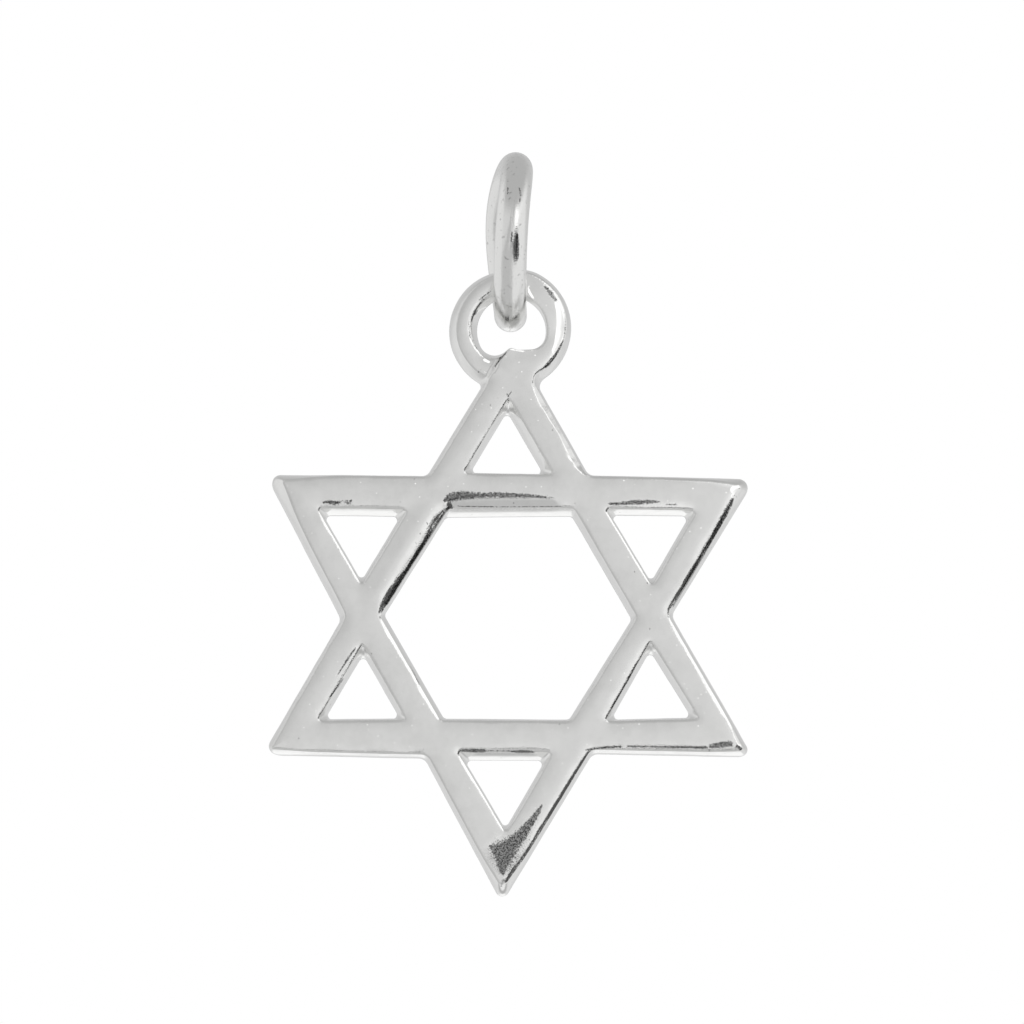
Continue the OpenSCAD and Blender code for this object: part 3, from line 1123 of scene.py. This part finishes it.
def tilted(tree, specks):
    """Normal that glints and specks turn to the right and up."""
    amount = maths(tree, "MAXIMUM", step(tree, attribute(tree, "glint"), *GLINT_EDGE), specks)
    turn = vector_maths(tree, "SCALE", "Vector", {0: GLINT_TURN, "Scale": amount})
    normal = node(tree, "NewGeometry", "Normal")
    total = vector_maths(tree, "ADD", "Vector", {0: normal, 1: turn})
    return vector_maths(tree, "NORMALIZE", "Vector", {0: total})


def new_material(name):
    """A new material with the tree of its nodes and its shader."""
    material = bpy.data.materials.new(name)
    material.use_nodes = True
    return material, material.node_tree, material.node_tree.nodes["Principled BSDF"]


def cast_silver(finish):
    """Polished cast silver: quiet faces with sparse specks, and grain where the tool left facets."""
    material, tree, shader = new_material("cast_silver")
    coords = node(tree, "TexCoord", "Object")
    pits = spots(tree, coords, *PITS)
    clouds = speckle(tree, coords, *CLOUDS)
    mottled = maths(tree, "MULTIPLY_ADD", clouds, CLOUD_TINT, pits)
    tint = blended(tree, mottled, rgba(finish.cast_colour), rgba(finish.dull_colour))
    turned = tilted(tree, spots(tree, coords, *SPECKS))
    pitted = bumped(tree, pits, 1.0, finish.grain_depth * PIT_DEPTH, turned, invert=True)
    grain = cloudy(tree, coords, finish.grain, 2.0)
    strength = ranged(tree, attribute(tree, "grain"), finish.face_grain, 1.0)
    plug(tree, shader, {
        "Metallic": 1.0,
        # The base colour carries the painted dark reflections
        "Base Color": with_painted_reflections(tree, coords, tint, finish),
        "Roughness": ranged(tree, clouds, *(finish.cast_gloss * part for part in CAST_GLOSS)),
        "Normal": bumped(tree, grain, strength, finish.grain_depth, pitted),
    })
    return material


def wire_silver(finish):
    """Polished drawn wire: faint lines along its length, and light handling marks."""
    material, tree, shader = new_material("wire_silver")
    coords = node(tree, "TexCoord", "Object")
    run = attribute(tree, "run", "Vector")
    drawn = node(tree, "Mapping", "Vector", {"Vector": run, "Scale": DRAWN_SCALE})
    lines = speckle(tree, drawn, *DRAWN_LINES)
    marks = speckle(tree, coords, *WIRE_MARKS)
    tint = blended(tree, marks, rgba(finish.wire_colour), rgba(finish.dull_colour))
    lined = bumped(tree, lines, 1.0, LINE_DEPTH)
    grain = cloudy(tree, coords, finish.grain, 3.0)
    plug(tree, shader, {
        "Metallic": 1.0,
        # The base colour carries the painted dark reflections
        "Base Color": with_painted_reflections(tree, coords, tint, finish),
        "Roughness": ranged(tree, lines, *(finish.wire_gloss * part for part in WIRE_GLOSS)),
        "Normal": bumped(tree, grain, 1.0, finish.grain_depth * WIRE_GRAIN, lined),
    })
    return material


def floor_paper(look):
    """Plain pale paper with a faint unevenness."""
    material, tree, shader = new_material("floor_paper")
    fibre = speckle(tree, node(tree, "TexCoord", "Object"), *PAPER_FIBRE)
    darker = rgba([part * FIBRE_TINT for part in look.floor_colour])
    colour = blended(tree, fibre, rgba(look.floor_colour), darker)
    plug(tree, shader, {"Roughness": 0.9, "Base Color": colour})
    return material


# The stage

# Grey levels of the light tent: its front along a slanting line across (direction, place and level), and
# its back from low to high
ACROSS = (1, 0, -0.9)
FRONT_LEVELS = (
    (-0.95, 0.72), (-0.66, 0.7), (-0.5, 0.5), (-0.32, 0.54), (-0.2, 0.61), (-0.1, 0.68), (-0.047, 0.725),
    (0.02, 0.75), (0.075, 0.79), (0.125, 0.93), (0.18, 1.0), (0.3, 1.0), (0.6, 0.85),
)
BACK_LEVELS = (
    (-0.88, 0.95), (-0.74, 0.95), (-0.66, 0.5), (-0.58, 0.48), (-0.52, 0.6), (-0.4, 0.76), (-0.2, 0.78),
    (-0.1, 0.7), (0.0, 0.7), (0.1, 0.64), (0.3, 0.6), (0.8, 0.5),
)
# Round parts of the tent: direction of the middle, degrees from it at which the part starts and is full,
# and grey level
DARK_GAP = ((0.506, -0.843, -0.187), 20.5, 16.5, 0.09)
LAMP = ((0.458, -0.798, 0.387), 14, 10, 1.3)
LEFT_PANEL = ((-0.95, 0.31, 0), 52, 30, 0.81)
# Other parts, as the values at which they start and are full, along the height or to the right, and their
# grey level: low in front on the left, overhead in front, and a bright one behind
LOW_HEIGHT, LOW_RIGHT, LOW_LEVEL = (-0.12, -0.3), (0.3, 0.12), 0.56
CEILING_HEIGHT, CEILING_LEVEL = (0.42, 0.75), 0.5
GLOW_HEIGHT, GLOW_TOP = (-0.52, -0.42), (-0.13, -0.2)
GLOW_LEFT, GLOW_RIGHT, GLOW_LEVEL = (-0.2, -0.06), (0.24, 0.12), 1.05
# The camera's dark lens: middle and half widths to the right and up, edge in half widths, and grey level
LENS_AT, LENS_SIZE, LENS_EDGE, LENS_LEVEL = (0.1, -0.135), (0.11, 0.05), (1.5, 0.8), 0.12
# How far behind the pendant the tent goes over from its front to its back
BEHIND = (0.0, 0.6)


def reach_along(tree, direction, way):
    """How far a direction goes along a fixed vector."""
    return vector_maths(tree, "DOT_PRODUCT", "Value", {0: direction, 1: way})


def ramp(tree, value, stops):
    """Grey levels along a value from -1 to 1, from stops of (value, level)."""
    scaled = node(tree, "MapRange", "Result", {"Value": value, "From Min": -1, "From Max": 1})
    made = new_node(tree, "ValToRGB", {"Fac": scaled})
    levels = made.color_ramp
    levels.interpolation = "EASE"
    while len(levels.elements) < len(stops):
        levels.elements.new(0.5)
    for element, (at, level) in zip(levels.elements, stops):
        element.position = (at + 1) / 2
        element.color = grey(level)
    return made.outputs["Color"]


def both(tree, first, second):
    """1 where both values are 1."""
    return maths(tree, "MULTIPLY", first, second)


def light_tent(look):
    """A world of soft light: bright on the right, grey above, with a lamp, a dark gap and a dark lens."""
    world = bpy.data.worlds.new("light_tent")
    world.use_nodes = True
    tree = world.node_tree
    direction = node(tree, "TexCoord", "Generated")
    up = reach_along(tree, direction, (0, 0, 1))
    right = reach_along(tree, direction, (1, 0, 0))

    def part(tent, amount, level):
        """The tent with one part at its own grey level."""
        return blended(tree, amount, tent, grey(level))

    def round_part(tent, middle, start, full, level):
        """The tent with a round part at its own grey level."""
        toward = reach_along(tree, direction, Vector(middle).normalized())
        edge = (math.cos(math.radians(turn)) for turn in (start, full))
        return part(tent, step(tree, toward, *edge), level)

    front = ramp(tree, reach_along(tree, direction, ACROSS), FRONT_LEVELS)
    low = both(tree, step(tree, up, *LOW_HEIGHT), step(tree, right, *LOW_RIGHT))
    front = part(front, low, LOW_LEVEL)
    front = part(front, step(tree, up, *CEILING_HEIGHT), CEILING_LEVEL)
    front = round_part(front, *DARK_GAP)
    (lens_right, lens_up), (wide, high) = LENS_AT, LENS_SIZE
    lens = node(tree, "Mapping", "Vector", {
        "Vector": direction,
        "Location": (-lens_right / wide, 0, -lens_up / high),
        "Scale": (1 / wide, 0, 1 / high),
    }, vector_type="POINT")
    away = vector_maths(tree, "LENGTH", "Value", {0: lens})
    front = part(front, step(tree, away, *LENS_EDGE), LENS_LEVEL)
    front = round_part(front, *LAMP)
    back = ramp(tree, up, BACK_LEVELS)
    glow_rows = both(tree, step(tree, up, *GLOW_HEIGHT), step(tree, up, *GLOW_TOP))
    glow_columns = both(tree, step(tree, right, *GLOW_LEFT), step(tree, right, *GLOW_RIGHT))
    back = part(back, both(tree, glow_rows, glow_columns), GLOW_LEVEL)
    behind = step(tree, reach_along(tree, direction, (0, 1, 0)), *BEHIND)
    tent = round_part(blended(tree, behind, front, back), *LEFT_PANEL)
    seen = node(tree, "LightPath", "Is Camera Ray")
    colour = blended(tree, seen, tent, rgba(look.backdrop))
    plug(tree, tree.nodes["Background"], {"Color": colour})
    bpy.context.scene.world = world


def floor(look):
    """A wide round floor below the pendant."""
    steps, rings = FLOOR_STEPS
    vertices = [(0, 0, -look.floor_drop)]
    for r in range(1, rings + 1):
        radius = look.floor_radius * (r / rings) ** 2
        for i in range(steps):
            turn = 2 * math.pi * i / steps
            vertices.append((radius * math.cos(turn), radius * math.sin(turn), -look.floor_drop))
    faces = [(0, 1 + i, 1 + (i + 1) % steps) for i in range(steps)]
    for r in range(1, rings):
        faces += quads(1 + r * steps, 1 + (r - 1) * steps, steps)
    made = mesh_object("floor", vertices, faces, floor_paper(look))
    made.visible_glossy = False


def camera(look):
    """A long lens that looks at the pendant from the front, slightly from below and the left."""
    data = bpy.data.cameras.new("camera")
    data.sensor_width = 36.0
    data.sensor_fit = "HORIZONTAL"
    data.lens = data.sensor_width / 2 / (look.view_height / 2 / look.distance)
    data.clip_start = 0.001
    data.clip_end = 10.0
    made = bpy.data.objects.new("camera", data)
    bpy.context.scene.collection.objects.link(made)
    aim = Vector((look.aim_across, 0, look.aim_up))
    away = Vector((
        math.sin(look.azimuth) * math.cos(look.elevation),
        -math.cos(look.azimuth) * math.cos(look.elevation),
        math.sin(look.elevation),
    ))
    made.location = aim + away * look.distance
    made.rotation_euler = (-away).to_track_quat("-Z", "Y").to_euler()
    bpy.context.scene.camera = made


# Operators and panel


class PENDANT_OT_star(Operator):
    """Build the cast star with its loop"""

    bl_idname = "pendant.star"
    bl_label = "Star"
    bl_options = {"REGISTER", "UNDO"}

    def execute(self, context):
        scene = context.scene
        vertices, faces, finish = star_mesh(scene.pendant_star, scene.pendant_loop)
        made = mesh_object("star_cast", vertices, faces, cast_silver(scene.pendant_finish), finish)
        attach(made, "pendant")
        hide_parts("star")
        return {"FINISHED"}


class PENDANT_OT_jump_ring(Operator):
    """Build the wire jump ring"""

    bl_idname = "pendant.jump_ring"
    bl_label = "Jump ring"
    bl_options = {"REGISTER", "UNDO"}

    def execute(self, context):
        scene = context.scene
        vertices, faces, run, dark = ring_mesh(scene.pendant_ring)
        # The dark attribute carries the ring's painted dark reflections
        made = mesh_object(
            "jump_ring_wire", vertices, faces, wire_silver(scene.pendant_finish), {"run": run, "dark": dark}
        )
        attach(made, "ring")
        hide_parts("jump_ring")
        return {"FINISHED"}


class PENDANT_OT_stage(Operator):
    """Set up the floor, the light tent and the camera"""

    bl_idname = "pendant.stage"
    bl_label = "Stage"
    bl_options = {"REGISTER", "UNDO"}

    def execute(self, context):
        look = context.scene.pendant_stage
        light_tent(look)
        floor(look)
        camera(look)
        context.scene.view_settings.view_transform = "Standard"
        return {"FINISHED"}


class PENDANT_PT_panel(Panel):
    """Sizes, finishes and builders of the pendant"""

    bl_label = "Star pendant"
    bl_space_type = "VIEW_3D"
    bl_region_type = "UI"
    bl_category = "Pendant"

    def draw(self, context):
        for operator in OPERATORS:
            self.layout.operator(operator.bl_idname)
        for key, group in GROUPS.items():
            box = self.layout.box()
            box.label(text=group.__doc__)
            for name in group.__annotations__:
                box.prop(getattr(context.scene, key), name)


GROUPS = {
    "pendant_star": StarSizes,
    "pendant_loop": LoopSizes,
    "pendant_ring": RingSizes,
    "pendant_finish": SilverFinish,
    "pendant_stage": StageLook,
}
OPERATORS = (PENDANT_OT_stage, PENDANT_OT_star, PENDANT_OT_jump_ring)
CLASSES = (*GROUPS.values(), *OPERATORS, PENDANT_PT_panel)


def register():
    for cls in CLASSES:
        bpy.utils.register_class(cls)
    for key, group in GROUPS.items():
        setattr(bpy.types.Scene, key, PointerProperty(type=group))


def unregister():
    for key in GROUPS:
        delattr(bpy.types.Scene, key)
    for cls in reversed(CLASSES):
        bpy.utils.unregister_class(cls)


def main():
    register()
    bpy.ops.pendant.stage()
    bpy.ops.pendant.star()
    bpy.ops.pendant.jump_ring()


if __name__ == "__main__":
    main()
